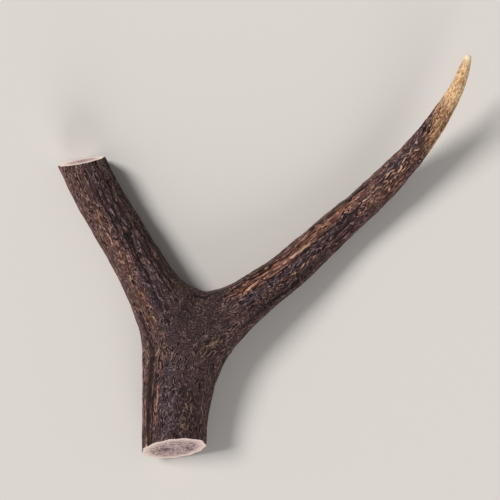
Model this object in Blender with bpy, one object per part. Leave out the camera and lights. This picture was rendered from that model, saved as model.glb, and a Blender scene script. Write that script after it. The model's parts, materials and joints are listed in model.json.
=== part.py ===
"""A red deer antler: a forked length of beam, sawn flat at both ends, with one long tine.

The antler lies on its side on a surface. +Z is up, the fork lies nearly in the XY plane, the beam
grows towards +Y and the tine sweeps off to +X +Y and lifts at its tip. The origin is on the surface,
under the middle of the antler's box.

The form is a cage of rings with twelve corners each. One column of rings climbs the lower beam, its
last ring parts into two at the fork, and one column goes on along the upper beam and one along the
tine. A Subdivision Surface modifier rounds the cage, ridges are raised along the growth, and the ends
are sawn off. The one piece is then parted at the root of the tine.
"""

import math

import bmesh
import bpy
import numpy as np
from mathutils import Vector, noise

MM = 0.001

# Stations along the growth, in millimetres: the centre's x, y and z, then the width in the plane of
# the fork and the depth across it. Both sawn ends run on past the saw cuts.
LOWER_BEAM = (
    (-45.6, -150.0, 16.6, 36.4, 31.0),
    (-44.4, -111.0, 16.6, 36.6, 31.4),
    (-43.0, -88.0, 17.4, 38.6, 32.4),
    (-41.0, -71.0, 18.4, 42.6, 33.0),
    (-38.2, -57.0, 19.0, 50.0, 33.6),
)
UPPER_BEAM = (
    (-54.4, -26.8, 17.8, 32.2, 31.0),
    (-64.2, -9.2, 16.6, 28.0, 29.0),
    (-72.6, 5.2, 15.5, 27.6, 27.6),
    (-81.2, 19.2, 14.6, 27.3, 26.8),
    (-90.3, 33.5, 14.0, 27.0, 26.2),
    (-103.4, 62.2, 13.6, 26.2, 25.8),
)
TINE = (
    (-5.4, -32.6, 17.8, 27.0, 28.8),
    (7.0, -23.5, 16.2, 23.2, 25.4),
    (22.2, -12.8, 14.0, 21.8, 23.4),
    (35.7, -0.3, 12.2, 21.0, 22.2),
    (50.0, 12.6, 11.2, 19.2, 20.4),
    (66.2, 26.4, 12.0, 17.4, 18.8),
    (79.8, 39.6, 14.4, 16.8, 17.6),
    (92.3, 53.0, 18.2, 14.3, 15.2),
    (102.7, 65.8, 23.0, 12.1, 12.9),
    (110.0, 78.0, 28.6, 10.2, 10.8),
    (116.8, 89.2, 34.2, 8.2, 8.8),
    (120.1, 100.1, 39.6, 6.9, 7.0),
    (121.7, 108.5, 43.6, 4.8, 4.8),
)

# The fork: the crotch between the two arms, and how far the middle of the parting ring is pushed up
# into the fork on its upper and under sides.
CROTCH = Vector((-24.6, -23.8, 17.8)) * MM
CROTCH_DEPTH = 31.0 * MM
PARTING_LIFT = 13.0 * MM

# The saw cuts: the middle of each flat face, the way its long axis turns from +X in the plan, and how
# far the face leans back to look up.
LOWER_CUT = Vector((-44.3, -116.1, 16.4)) * MM
LOWER_CUT_TURN = 7.0
LOWER_CUT_LEAN = 28.0
UPPER_CUT = Vector((-97.8, 52.3, 13.8)) * MM
UPPER_CUT_TURN = 10.8
UPPER_CUT_LEAN = 13.0
SAW_REACH = 45.0 * MM

# The tine parts from the beam at this one of its stations, with a hair of air between the two solids.
ROOT_STATION = 1
ROOT_GAP = 0.3 * MM

# The cage and its smoothing
CORNERS = 12
RINGS_LOWER = 6
RINGS_IN_FORK = 1
RINGS_UPPER = 6
RINGS_TINE = 13
SMOOTHING_LEVELS = 2
# A smoothed polygon of twelve corners lies inside its cage by this share.
CAGE_SWELL = 6.0 / (4.0 + 2.0 * math.cos(2.0 * math.pi / CORNERS))

# The relief: ridges that run with the growth, and the pearls between them
RIDGES = 12
RIDGE_HEIGHT = 0.55 * MM
RIDGE_WANDER = 0.5
RIDGE_WANDER_LENGTH = 30.0 * MM
PEARL_HEIGHT = 0.45 * MM
PEARL_SIZE = 6.0 * MM
SMOOTH_TIP_LENGTH = 45.0 * MM
# No ridges within the first distance from the fork's middle, and full ridges from the second.
FORK_MIDDLE = Vector((-33.0, -40.0, 18.0)) * MM
FORK_WITHOUT_RIDGES = (15.0 * MM, 38.0 * MM)

ANTLER_BROWN = (0.075, 0.045, 0.034, 1.0)
ANTLER_ROUGHNESS = 0.5


def smooth_path(stations, steps=24):
    """A Catmull-Rom curve through the stations, in metres, as an array of close stations."""
    rows = np.array(stations, float) * MM
    rows = np.vstack((2 * rows[0] - rows[1], rows, 2 * rows[-1] - rows[-2]))
    curve = []
    for before, start, end, after in zip(rows, rows[1:], rows[2:], rows[3:]):
        for t in np.arange(steps) / steps:
            curve.append(
                0.5
                * (
                    2 * start
                    + (end - before) * t
                    + (2 * before - 5 * start + 4 * end - after) * t**2
                    + (3 * start - before - 3 * end + after) * t**3
                )
            )
    curve.append(rows[-2])
    return np.array(curve)


def lengths_along(curve):
    """The distance from the curve's start to each of its points."""
    steps = np.linalg.norm(np.diff(curve[:, :3], axis=0), axis=1)
    return np.concatenate(([0.0], np.cumsum(steps)))


def frames_along(curve):
    """The way to the right of the growth at each point of the curve, and the way up."""
    growth = np.gradient(curve[:, :3], axis=0)
    growth /= np.linalg.norm(growth, axis=1)[:, None]
    right = np.cross(growth, (0.0, 0.0, 1.0))
    right /= np.linalg.norm(right, axis=1)[:, None]
    return right, np.cross(right, growth)


def rings_along(curve, count):
    """Rings of corners round the curve, evenly spaced from its start to its end."""
    distance = lengths_along(curve)
    right, up = frames_along(curve)
    angles = [2 * math.pi * corner / CORNERS for corner in range(CORNERS)]
    rings = []
    for target in np.linspace(0.0, distance[-1], count):
        nearest = int(np.argmin(abs(distance - target)))
        centre = Vector(curve[nearest, :3])
        across = Vector(right[nearest]) * (curve[nearest, 3] / 2 * CAGE_SWELL)
        through = Vector(up[nearest]) * (curve[nearest, 4] / 2 * CAGE_SWELL)
        rings.append([centre + across * math.cos(a) + through * math.sin(a) for a in angles])
    return rings


def lift_middle(ring, towards):
    """Pushes the upper and under middle of the parting ring up into the fork."""
    lift = (towards - sum(ring, Vector()) / CORNERS).normalized() * PARTING_LIFT
    lift.z = 0.0
    return [p + lift * math.sin(2 * math.pi * k / CORNERS) ** 2 for k, p in enumerate(ring)]


def crotch_arc(parting):
    """The saddle's points, from the parting ring's top middle through the crotch to its bottom middle."""
    top, bottom = parting[CORNERS // 4], parting[3 * CORNERS // 4]
    middle = (top + bottom) / 2
    reach = CROTCH - middle
    points = []
    for k in range(1, CORNERS // 2):
        angle = 2 * math.pi * k / CORNERS
        point = middle + reach * math.sin(angle)
        point.z = CROTCH.z + CROTCH_DEPTH / 2 * CAGE_SWELL * math.cos(angle)
        points.append(point)
    return points


def skin(bm, lower, upper):
    """Joins two rings of the cage with a band of quads."""
    for k in range(CORNERS):
        after = (k + 1) % CORNERS
        corners = (lower[k], lower[after], upper[after], upper[k])
        if len(set(corners)) == 4:
            bm.faces.new(corners)


def blend_rings(start, end, count):
    """The rings between two others, evenly spaced."""
    shares = [(k + 1) / (count + 1) for k in range(count)]
    return [[a.lerp(b, share) for a, b in zip(start, end)] for share in shares]


def antler_cage():
    """The whole antler as a coarse cage: lower beam, fork, upper beam and tine, closed at the tip."""
    lower = rings_along(smooth_path(LOWER_BEAM), RINGS_LOWER)
    upper = rings_along(smooth_path(UPPER_BEAM), RINGS_UPPER)
    tine = rings_along(smooth_path(TINE), RINGS_TINE)
    lower[-1] = lift_middle(lower[-1], CROTCH)
    arc = crotch_arc(lower[-1])

    bm = bmesh.new()
    lower = [[bm.verts.new(p) for p in ring] for ring in lower]
    arc = [bm.verts.new(p) for p in arc]
    for first, second in zip(lower, lower[1:]):
        skin(bm, first, second)

    # Corner 0 is on the tine's side and corner 6 on the outer side. The arc stands in for the half of
    # the parting ring that each arm leaves to the other, counted from the top round to the bottom.
    quarter, half = CORNERS // 4, CORNERS // 2
    parting = lower[-1]
    upper_start = arc[quarter - 1 :: -1] + parting[quarter : quarter + half + 1] + arc[: quarter - 1 : -1]
    tine_start = parting[: quarter + 1] + arc + parting[quarter + half :]
    for start, arm in ((upper_start, upper), (tine_start, tine)):
        between = blend_rings([v.co for v in start], arm[0], RINGS_IN_FORK)
        column = [start] + [[bm.verts.new(p) for p in ring] for ring in between + arm]
        for first, second in zip(column, column[1:]):
            skin(bm, first, second)
    tip = bm.verts.new(sum((v.co for v in column[-1]), Vector()) / CORNERS)
    for k in range(CORNERS):
        bm.faces.new((column[-1][k], column[-1][(k + 1) % CORNERS], tip))
    bmesh.ops.recalc_face_normals(bm, faces=bm.faces)
    return bm


def smoothed(bm):
    """The cage rounded by a Subdivision Surface modifier, as a new bmesh."""
    mesh = bpy.data.meshes.new("cage")
    bm.to_mesh(mesh)
    bm.free()
    cage = bpy.data.objects.new("cage", mesh)
    bpy.context.scene.collection.objects.link(cage)
    rounding = cage.modifiers.new("rounding", "SUBSURF")
    rounding.levels = SMOOTHING_LEVELS
    rounding.render_levels = SMOOTHING_LEVELS
    depsgraph = bpy.context.evaluated_depsgraph_get()
    result = bmesh.new()
    result.from_object(cage, depsgraph)
    bpy.data.objects.remove(cage)
    bpy.data.meshes.remove(mesh)
    return result


def growth_position(point, curve, distance, frames):
    """How far along the curve's growth a point lies, its angle round it, and the radius there."""
    nearest = int(np.argmin(np.linalg.norm(curve[:, :3] - np.array(point), axis=1)))
    right, up = frames
    offset = point - Vector(curve[nearest, :3])
    angle = math.atan2(offset.dot(Vector(up[nearest])), offset.dot(Vector(right[nearest])))
    return distance[nearest], angle, offset.length


def share(value, start, end):
    """How far a value has come from start to end, from 0 to 1."""
    return min(1.0, max(0.0, (value - start) / (end - start)))


def raise_relief(bm):
    """Raises the ridges, which die out in the fork, and the pearls. The tine's tip stays smooth."""
    arms = []
    for arm in (LOWER_BEAM + UPPER_BEAM, LOWER_BEAM + TINE):
        curve = smooth_path(arm)
        arms.append((curve, lengths_along(curve), frames_along(curve)))
    tip = Vector(TINE[-1][:3]) * MM
    bm.normal_update()
    moves = []
    for v in bm.verts:
        along, angle, _ = min((growth_position(v.co, *arm) for arm in arms), key=lambda g: g[2])
        growth = Vector((math.cos(angle), math.sin(angle), along / RIDGE_WANDER_LENGTH))
        wander = RIDGE_WANDER * noise.noise(growth)
        ridge = RIDGE_HEIGHT * math.cos(RIDGES * angle + 2 * math.pi * wander)
        ridge *= share((v.co - FORK_MIDDLE).length, *FORK_WITHOUT_RIDGES)
        pearl = PEARL_HEIGHT * noise.noise(v.co / PEARL_SIZE)
        moves.append(v.normal * (ridge + pearl) * share((v.co - tip).length, 0.0, SMOOTH_TIP_LENGTH))
    for v, move in zip(bm.verts, moves):
        v.co += move


def cut_direction(turn, lean, end):
    """The outward normal of a sawn face: end is -1 at the lower end of the beam and 1 at the upper."""
    turn, lean = math.radians(turn), math.radians(lean)
    flat = Vector((-math.sin(turn), math.cos(turn), 0.0)) * (end * math.cos(lean))
    return flat + Vector((0.0, 0.0, math.sin(lean)))


def saw(bm, point, outward, reach=math.inf):
    """Saws off what is within reach and beyond a plane, on the side that outward looks to."""
    near = {v for v in bm.verts if (v.co - point).length < reach}
    edges = [e for e in bm.edges if near.issuperset(e.verts)]
    faces = [f for f in bm.faces if near.issuperset(f.verts)]
    cut = bmesh.ops.bisect_plane(
        bm, geom=list(near) + edges + faces, plane_co=point, plane_no=outward, clear_outer=True
    )
    rim = [e for e in cut["geom_cut"] if isinstance(e, bmesh.types.BMEdge)]
    bmesh.ops.contextual_create(bm, geom=rim)


def antler_material():
    """Antler bone: a hard brown skin with a satin sheen."""
    material = bpy.data.materials.new("antler")
    material.use_nodes = True
    shader = material.node_tree.nodes["Principled BSDF"]
    shader.inputs["Base Color"].default_value = ANTLER_BROWN
    shader.inputs["Roughness"].default_value = ANTLER_ROUGHNESS
    shader.inputs["Metallic"].default_value = 0.0
    return material


def add_node(name, bm, material):
    """Makes a named object of a finished bmesh, smooth on its rounds and sharp at its sawn faces."""
    bmesh.ops.recalc_face_normals(bm, faces=bm.faces)
    mesh = bpy.data.meshes.new(name)
    bm.to_mesh(mesh)
    bm.free()
    mesh.materials.append(material)
    mesh.shade_smooth()
    mesh.set_sharp_from_angle(angle=math.radians(50))
    node = bpy.data.objects.new(name, mesh)
    bpy.context.scene.collection.objects.link(node)


def main():
    for old in list(bpy.data.objects):
        bpy.data.objects.remove(old)

    antler = smoothed(antler_cage())
    raise_relief(antler)
    saw(antler, LOWER_CUT, cut_direction(LOWER_CUT_TURN, LOWER_CUT_LEAN, -1), SAW_REACH)
    saw(antler, UPPER_CUT, cut_direction(UPPER_CUT_TURN, UPPER_CUT_LEAN, 1), SAW_REACH)

    # The origin goes under the middle of the box, on the surface that the antler lies on.
    low = Vector(min(v.co[axis] for v in antler.verts) for axis in range(3))
    high = Vector(max(v.co[axis] for v in antler.verts) for axis in range(3))
    shift = Vector((-(low.x + high.x) / 2, -(low.y + high.y) / 2, -low.z))
    bmesh.ops.translate(antler, verts=antler.verts, vec=shift)

    before, root, after = (Vector(TINE[ROOT_STATION + k][:3]) * MM for k in (-1, 0, 1))
    root += shift
    towards_tip = (after - before).normalized()
    half_gap = towards_tip * (ROOT_GAP / 2)
    tine = antler.copy()
    saw(antler, root - half_gap, towards_tip)
    saw(tine, root + half_gap, -towards_tip)

    material = antler_material()
    add_node("beam", antler, material)
    add_node("tine", tine, material)


main()
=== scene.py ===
# %% [markdown]
# # A forked deer antler, sawn at both ends
#
# The real object is a length of red deer antler that lies on its side. A thick beam forks once: the
# upper beam was sawn off short, and one long tine sweeps out and rises to a pale, polished tip.
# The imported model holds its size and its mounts. This script builds the looks around that frame:
# the same form in a finer mesh, the bark that the blood vessels of the velvet left on it, the two
# sawn faces with their spongy core, and the finishes.

import json
import math
from functools import partial
from typing import NamedTuple

import bmesh
import bpy
import numpy as np
from mathutils import Matrix, Vector, geometry, noise


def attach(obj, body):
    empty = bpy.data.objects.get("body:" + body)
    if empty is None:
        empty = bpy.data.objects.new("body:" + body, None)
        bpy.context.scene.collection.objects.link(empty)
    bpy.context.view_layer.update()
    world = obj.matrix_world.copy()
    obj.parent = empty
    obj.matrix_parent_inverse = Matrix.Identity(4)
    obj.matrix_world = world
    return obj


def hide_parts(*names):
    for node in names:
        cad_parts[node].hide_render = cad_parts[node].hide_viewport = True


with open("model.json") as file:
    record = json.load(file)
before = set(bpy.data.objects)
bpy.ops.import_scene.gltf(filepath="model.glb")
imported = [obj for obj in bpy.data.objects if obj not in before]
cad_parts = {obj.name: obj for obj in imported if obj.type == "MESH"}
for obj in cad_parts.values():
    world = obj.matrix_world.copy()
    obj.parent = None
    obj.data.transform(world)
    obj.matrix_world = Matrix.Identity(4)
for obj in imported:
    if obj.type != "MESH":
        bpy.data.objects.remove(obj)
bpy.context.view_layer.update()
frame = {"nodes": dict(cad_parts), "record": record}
mounts = {mount["name"]: mount for mount in frame["record"]["mounts"]}
print("nodes of the frame:", sorted(frame["nodes"]), "mounts:", sorted(mounts))

# %% [markdown]
# ## Units, colours and nodes
#
# Blender works in metres and in linear light, but an antler is measured in millimetres and a colour
# is picked in sRGB. One factor and one function bridge the two. One small function adds a node with
# its settings and links, so that a long node tree still reads as a list of steps. A kind of node that
# is used again and again is named once, with its settings and the order of its inputs. Two more
# functions start a finish and an object.

# %% Units, colours and one way to add a node
MM = 0.001


def linear_colour(hex_colour):
    """An sRGB hex colour as the linear red, green, blue and alpha that a socket takes."""
    channels = [int(hex_colour[k : k + 2], 16) / 255 for k in (1, 3, 5)]
    return [c / 12.92 if c <= 0.04045 else ((c + 0.055) / 1.055) ** 2.4 for c in channels] + [1.0]


class Kind(NamedTuple):
    """A kind of node: its type, its settings, and the sockets that its inputs go to, in order."""

    type: str
    settings: dict = {}
    sockets: tuple = (0, 1, 2, 3, 4)


def plug(node, inputs):
    """Sets a value or a hex colour on a node's socket, and links a node or an output to it."""
    for key, value in inputs.items():
        if isinstance(value, bpy.types.Node):
            value = next(output for output in value.outputs if output.enabled)
        if isinstance(value, bpy.types.NodeSocket):
            node.id_data.links.new(value, node.inputs[key])
        elif isinstance(value, str) and value.startswith("#"):
            node.inputs[key].default_value = linear_colour(value)
        else:
            node.inputs[key].default_value = value


def add_node(tree, kind, inputs=(), **settings):
    """Adds a node of a kind, or of a type that needs no more than its name, and plugs its inputs in."""
    kind = kind if isinstance(kind, Kind) else Kind(kind)
    node = tree.nodes.new(kind.type)
    for name, setting in {**kind.settings, **settings}.items():
        setattr(node, name, setting)
    plug(node, inputs if isinstance(inputs, dict) else dict(zip(kind.sockets, inputs)))
    return node


def new_finish(name):
    """A new material, what adds a node to it, and its shader."""
    material = bpy.data.materials.new(name)
    material.use_nodes = True
    tree = material.node_tree
    return material, partial(add_node, tree), tree.nodes["Principled BSDF"]


def new_object(name, data):
    """A new object in the scene that shows some data."""
    thing = bpy.data.objects.new(name, data)
    bpy.context.scene.collection.objects.link(thing)
    return thing


print("a mid grey is", round(linear_colour("#808080")[0], 3), "in linear light")

# %% [markdown]
# ## Camera, floor and light
#
# The antler was looked at from straight above, so the camera hangs over the middle of the picture and
# looks down. Its height and the width of floor that it sees fix its angle of view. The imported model
# was moved so that its origin lies under the middle of its box. The centre of the lower sawn face is
# known before and after that move, so the difference of the two is the move itself.
# The light is one large soft lamp from the upper left, as from a window, a weaker one from the near
# side that fills the sawn face, and a pale sky around them. Both lamps are wide suns, because a lamp
# that stands nearby would leave a bright patch on the floor under it.

# %% Camera, floor and light
LOWER_CUT_IN_PLAN = Vector((-44.3, -116.1, 16.4)) * MM
CAMERA_HEIGHT = 600 * MM
PICTURE_WIDTH = 300 * MM
move_to_frame = Vector(mounts["lower_cut"]["pos_m"]) - LOWER_CUT_IN_PLAN

camera = new_object("camera", bpy.data.cameras.new("camera"))
camera.data.angle = 2 * math.atan(PICTURE_WIDTH / 2 / CAMERA_HEIGHT)
camera.data.clip_start = 10 * MM
camera.location = (move_to_frame.x, move_to_frame.y, CAMERA_HEIGHT)
bpy.context.scene.camera = camera
bpy.context.scene.view_settings.view_transform = "Standard"

# The way to each lamp, how wide it looks in degrees, and its strength in watts per square metre
LAMPS = {
    "window light": ((-0.96, 0.56, 1.12), 20, 2.7),
    "near fill": ((0.16, -1.28, 0.6), 36, 1.3),
}
for name, (way, width, strength) in LAMPS.items():
    light = bpy.data.lights.new(name, "SUN")
    light.angle = math.radians(width)
    light.energy = strength
    light.color = linear_colour("#fffaf6")[:3]
    lamp = new_object(name, light)
    lamp.location = way
    lamp.rotation_euler = (-lamp.location).to_track_quat("-Z", "Y").to_euler()

SKY_STRENGTH = 0.26
sky = bpy.data.worlds.new("soft sky")
sky.use_nodes = True
plug(sky.node_tree.nodes["Background"], {"Color": "#f3f1f2", "Strength": SKY_STRENGTH})
bpy.context.scene.world = sky

FLOOR_SIZE = 6.0
corner = FLOOR_SIZE / 2
corners = [(-corner, -corner, 0), (corner, -corner, 0), (corner, corner, 0), (-corner, corner, 0)]
floor = new_object("floor", bpy.data.meshes.new("floor"))
floor.data.from_pydata(corners, [], [(0, 1, 2, 3)])
floor_paint, _, shader = new_finish("pale matt floor paint")
plug(shader, {"Base Color": "#d9d7d3", "Roughness": 0.8})
floor.data.materials.append(floor_paint)
print("the camera sees", round(math.degrees(camera.data.angle), 2), "degrees")

# %% [markdown]
# ## The path of the growth
#
# An antler grows at its tips, and everything on its skin runs along that growth. So the form starts
# from a few stations along each arm: where the centre is, how wide the arm is in the plane of the
# fork, and how deep across it. A smooth curve through the stations gives the rest. Both sawn ends
# run on past the saw cuts, as the living antler did.

# %% Stations: x, y, z, width and depth in millimetres
LOWER_BEAM = (
    (-44.9, -130.0, 16.6, 36.5, 31.2),
    (-44.4, -111.0, 16.6, 36.6, 31.4),
    (-43.0, -88.0, 17.4, 38.6, 32.4),
    (-41.0, -71.0, 18.4, 42.6, 33.0),
    (-38.2, -57.0, 19.0, 50.0, 33.6),
)
UPPER_BEAM = (
    (-54.4, -26.8, 17.8, 32.2, 31.0),
    (-64.2, -9.2, 16.6, 28.0, 29.0),
    (-72.6, 5.2, 15.5, 27.6, 27.6),
    (-81.2, 19.2, 14.6, 27.3, 26.8),
    (-90.3, 33.5, 14.0, 27.0, 26.2),
    (-103.4, 62.2, 13.6, 26.2, 25.8),
)
TINE = (
    (-5.4, -32.6, 17.8, 27.0, 28.8),
    (7.0, -23.5, 16.2, 23.2, 25.4),
    (22.2, -12.8, 14.0, 21.8, 23.4),
    (35.7, -0.3, 12.2, 21.0, 22.2),
    (50.0, 12.6, 11.2, 19.2, 20.4),
    (66.2, 26.4, 12.0, 17.4, 18.8),
    (79.8, 39.6, 14.4, 16.8, 17.6),
    (92.3, 53.0, 18.2, 14.3, 15.2),
    (102.7, 65.8, 23.0, 12.1, 12.9),
    (110.0, 78.0, 28.6, 10.2, 10.8),
    (116.8, 89.2, 34.2, 8.2, 8.8),
    (120.1, 100.1, 39.6, 6.9, 7.0),
    (121.7, 108.5, 43.6, 4.8, 4.8),
)
STEPS_BETWEEN_STATIONS = 24


class Path:
    """A Catmull-Rom curve through stations, with the way right and up at each of its points."""

    def __init__(self, stations):
        rows = np.array(stations, float) * MM
        rows = np.vstack((2 * rows[0] - rows[1], rows, 2 * rows[-1] - rows[-2]))
        points = []
        for before, start, end, after in zip(rows, rows[1:], rows[2:], rows[3:]):
            for t in np.arange(STEPS_BETWEEN_STATIONS) / STEPS_BETWEEN_STATIONS:
                bend = 2 * before - 5 * start + 4 * end - after
                twist = 3 * start - before - 3 * end + after
                points.append(0.5 * (2 * start + (end - before) * t + bend * t**2 + twist * t**3))
        points = np.array(points + [rows[-2]])
        self.centre, self.size = points[:, :3], points[:, 3:]
        steps = np.linalg.norm(np.diff(self.centre, axis=0), axis=1)
        self.along = np.concatenate(([0.0], np.cumsum(steps)))
        growth = np.gradient(self.centre, axis=0)
        self.growth = growth / np.linalg.norm(growth, axis=1)[:, None]
        right = np.cross(self.growth, (0.0, 0.0, 1.0))
        self.right = right / np.linalg.norm(right, axis=1)[:, None]
        self.up = np.cross(self.right, self.growth)


beam_path = Path(LOWER_BEAM + UPPER_BEAM)
tine_path = Path(LOWER_BEAM + TINE)
for name, path in (("beam", beam_path), ("tine", tine_path)):
    print(f"from the lower end to the end of the {name}: {path.along[-1] / MM:.0f} mm")

# %% [markdown]
# ## The cage
#
# A branching form is hard to make from tubes, because two tubes that cross leave a seam. Here it is
# one cage of rings with twelve corners, like the legs and waist of a pair of trousers: the last ring
# of the lower beam parts into two, and an arc of five points through the crotch closes each half.

# %% The cage of rings, with its fork
CORNERS = 12
RING_SPACING = 17.5 * MM
CROTCH = Vector((-24.6, -23.8, 17.8)) * MM
CROTCH_DEPTH = 31.0 * MM
PARTING_LIFT = 13.0 * MM
# A smoothed polygon of twelve corners lies inside its cage by this share.
CAGE_SWELL = 6.0 / (4.0 + 2.0 * math.cos(2.0 * math.pi / CORNERS))


def rings_along(stations):
    """Rings of corners round the path through some stations, evenly spaced."""
    path = Path(stations)
    count = round(path.along[-1] / RING_SPACING) + 1
    rings = []
    for target in np.linspace(0.0, path.along[-1], count):
        k = int(np.argmin(abs(path.along - target)))
        centre = Vector(path.centre[k])
        across = Vector(path.right[k]) * (path.size[k, 0] / 2 * CAGE_SWELL)
        through = Vector(path.up[k]) * (path.size[k, 1] / 2 * CAGE_SWELL)
        turns = [2 * math.pi * corner / CORNERS for corner in range(CORNERS)]
        rings.append([centre + across * math.cos(a) + through * math.sin(a) for a in turns])
    return rings


def parting_ring(ring):
    """The ring with its upper and under middle pushed up into the fork."""
    lift = (CROTCH - sum(ring, Vector()) / CORNERS).normalized() * PARTING_LIFT
    lift.z = 0.0
    return [p + lift * math.sin(2 * math.pi * k / CORNERS) ** 2 for k, p in enumerate(ring)]


def crotch_arc(parting):
    """The saddle's points, from the parting ring's top middle through the crotch to the bottom."""
    middle = (parting[CORNERS // 4] + parting[3 * CORNERS // 4]) / 2
    points = []
    for k in range(1, CORNERS // 2):
        turn = 2 * math.pi * k / CORNERS
        point = middle + (CROTCH - middle) * math.sin(turn)
        point.z = CROTCH.z + CROTCH_DEPTH / 2 * CAGE_SWELL * math.cos(turn)
        points.append(point)
    return points


def skin_between(cage, lower, upper):
    """Joins two rings of vertices with a band of faces."""
    for k in range(CORNERS):
        after = (k + 1) % CORNERS
        cage.faces.new((lower[k], lower[after], upper[after], upper[k]))


def antler_cage():
    """The whole antler as a coarse cage, closed at the tip."""
    lower = rings_along(LOWER_BEAM)
    lower[-1] = parting_ring(lower[-1])
    arc = crotch_arc(lower[-1])
    cage = bmesh.new()
    lower = [[cage.verts.new(p) for p in ring] for ring in lower]
    arc = [cage.verts.new(p) for p in arc]
    for first, second in zip(lower, lower[1:]):
        skin_between(cage, first, second)
    quarter, half = CORNERS // 4, CORNERS // 2
    parting = lower[-1]
    outer_half = parting[quarter : quarter + half + 1]
    upper_start = arc[quarter - 1 :: -1] + outer_half + arc[: quarter - 1 : -1]
    tine_start = parting[: quarter + 1] + arc + parting[quarter + half :]
    for start, stations in ((upper_start, UPPER_BEAM), (tine_start, TINE)):
        rings = rings_along(stations)
        halfway = [a.co.lerp(b, 0.5) for a, b in zip(start, rings[0])]
        column = [start] + [[cage.verts.new(p) for p in ring] for ring in [halfway] + rings]
        for first, second in zip(column, column[1:]):
            skin_between(cage, first, second)
    tip = cage.verts.new(sum((v.co for v in column[-1]), Vector()) / CORNERS)
    for k in range(CORNERS):
        cage.faces.new((column[-1][k], column[-1][(k + 1) % CORNERS], tip))
    bmesh.ops.recalc_face_normals(cage, faces=cage.faces)
    return cage


cage = antler_cage()
print("faces of the cage:", len(cage.faces))

# %% [markdown]
# ## The smooth form
#
# A Subdivision Surface modifier rounds the cage, as a carver takes the corners off a block. It is
# done in two goes. The first gives enough points to place the broad ridges and to work out where
# each point lies on the growth. The second, further down, makes room for the bark.

# %% Round the cage
FIRST_LEVELS = 3


def keep_modified(thing):
    """Turns an object into the plain mesh that its modifiers make of it."""
    bpy.context.view_layer.update()
    depsgraph = bpy.context.evaluated_depsgraph_get()
    thing.data = bpy.data.meshes.new_from_object(thing.evaluated_get(depsgraph))
    thing.modifiers.clear()


def round_off(thing, levels):
    """Rounds an object by cutting each of its faces in four, a number of times."""
    rounding = thing.modifiers.new("rounding", "SUBSURF")
    rounding.levels = rounding.render_levels = levels
    keep_modified(thing)


antler = new_object("antler", bpy.data.meshes.new("cage"))
cage.to_mesh(antler.data)
cage.free()
antler.data.shade_smooth()
round_off(antler, FIRST_LEVELS)
print("points after the first rounding:", len(antler.data.vertices))

# %% [markdown]
# ## Where each point lies on the growth
#
# The bark runs with the growth, so each point needs to know how far along its arm it is, and where
# round the arm. The nearest point of each path tells both. The pair is kept as a grain position:
# the arm unbent into a straight rod, with z along it. A pattern that is stretched along z then runs
# along the arm, round every bend and without a seam. Near the fork a point has two such positions,
# one for each arm, and a share says which of the two counts.

# %% Grain positions on both arms
# The names under which a point keeps its two grain positions
GRAINS = ("beam_grain", "tine_grain")
ARM_BLEND = 9.0 * MM
POINTS_AT_A_TIME = 2000


def grain_positions(points, path):
    """The points' places on a straightened arm, their angles round it and their distance from it."""
    blocks = np.array_split(points, max(1, len(points) // POINTS_AT_A_TIME))
    squares = (((block[:, None, :] - path.centre[None, :, :]) ** 2).sum(2) for block in blocks)
    nearest = np.concatenate([np.argmin(distances, axis=1) for distances in squares])
    offset = points - path.centre[nearest]
    ahead = (offset * path.growth[nearest]).sum(1)
    x = (offset * path.right[nearest]).sum(1)
    y = (offset * path.up[nearest]).sum(1)
    grain = np.column_stack((x, y, path.along[nearest] + ahead))
    return grain, np.degrees(np.arctan2(y, x)), np.linalg.norm(offset, axis=1)


def smooth_share(values, start, end):
    """How far values have come from start to end, from 0 to 1, with soft ends."""
    t = np.clip((values - start) / (end - start), 0.0, 1.0)
    return t * t * (3 - 2 * t)


def keep_on_points(mesh, name, values):
    """Stores one value or one vector for each vertex as a named attribute."""
    values = np.asarray(values, np.float32)
    kind, field = ("FLOAT_VECTOR", "vector") if values.ndim == 2 else ("FLOAT", "value")
    mesh.attributes.new(name, kind, "POINT").data.foreach_set(field, values.ravel())


points = np.array([v.co for v in antler.data.vertices])
beam_grain, beam_angle, from_beam = grain_positions(points, beam_path)
tine_grain, tine_angle, from_tine = grain_positions(points, tine_path)
tine_share = smooth_share(from_beam - from_tine, -ARM_BLEND, ARM_BLEND)
for name, grain in zip(GRAINS, (beam_grain, tine_grain)):
    keep_on_points(antler.data, name, grain / MM)
keep_on_points(antler.data, "tine_share", tine_share)
on_tine = tine_share > 0.5
along = np.where(on_tine, tine_grain[:, 2], beam_grain[:, 2]) / MM
angle = np.where(on_tine, tine_angle, beam_angle)
print("points on the tine's side of the fork:", int(on_tine.sum()))

# %% [markdown]
# ## Broad ridges
#
# A dozen low ridges run up the antler between the grooves where arteries lay. They wander a little
# and die out in the fork, where the skin is only lumpy, and towards the tip, which the deer polished.
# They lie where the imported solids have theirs, a little lower, because the bark adds to them.

# %% Raise the broad ridges
RIDGES = 12
RIDGE_HEIGHT = 0.42 * MM
# How far a ridge strays to either side, as a share of the distance between two ridges
RIDGE_WANDER = 0.5
RIDGE_WANDER_LENGTH = 30.0 * MM
PEARL_HEIGHT = 0.45 * MM
PEARL_SIZE = 6.0 * MM
SMOOTH_TIP_LENGTH = 45.0 * MM
FORK_MIDDLE = Vector((-33.0, -40.0, 18.0)) * MM
FORK_WITHOUT_RIDGES = (15.0 * MM, 38.0 * MM)
# How much further down the solids' path starts, from which their ridges' wander is counted
CAD_START = 20.0 * MM


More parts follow.
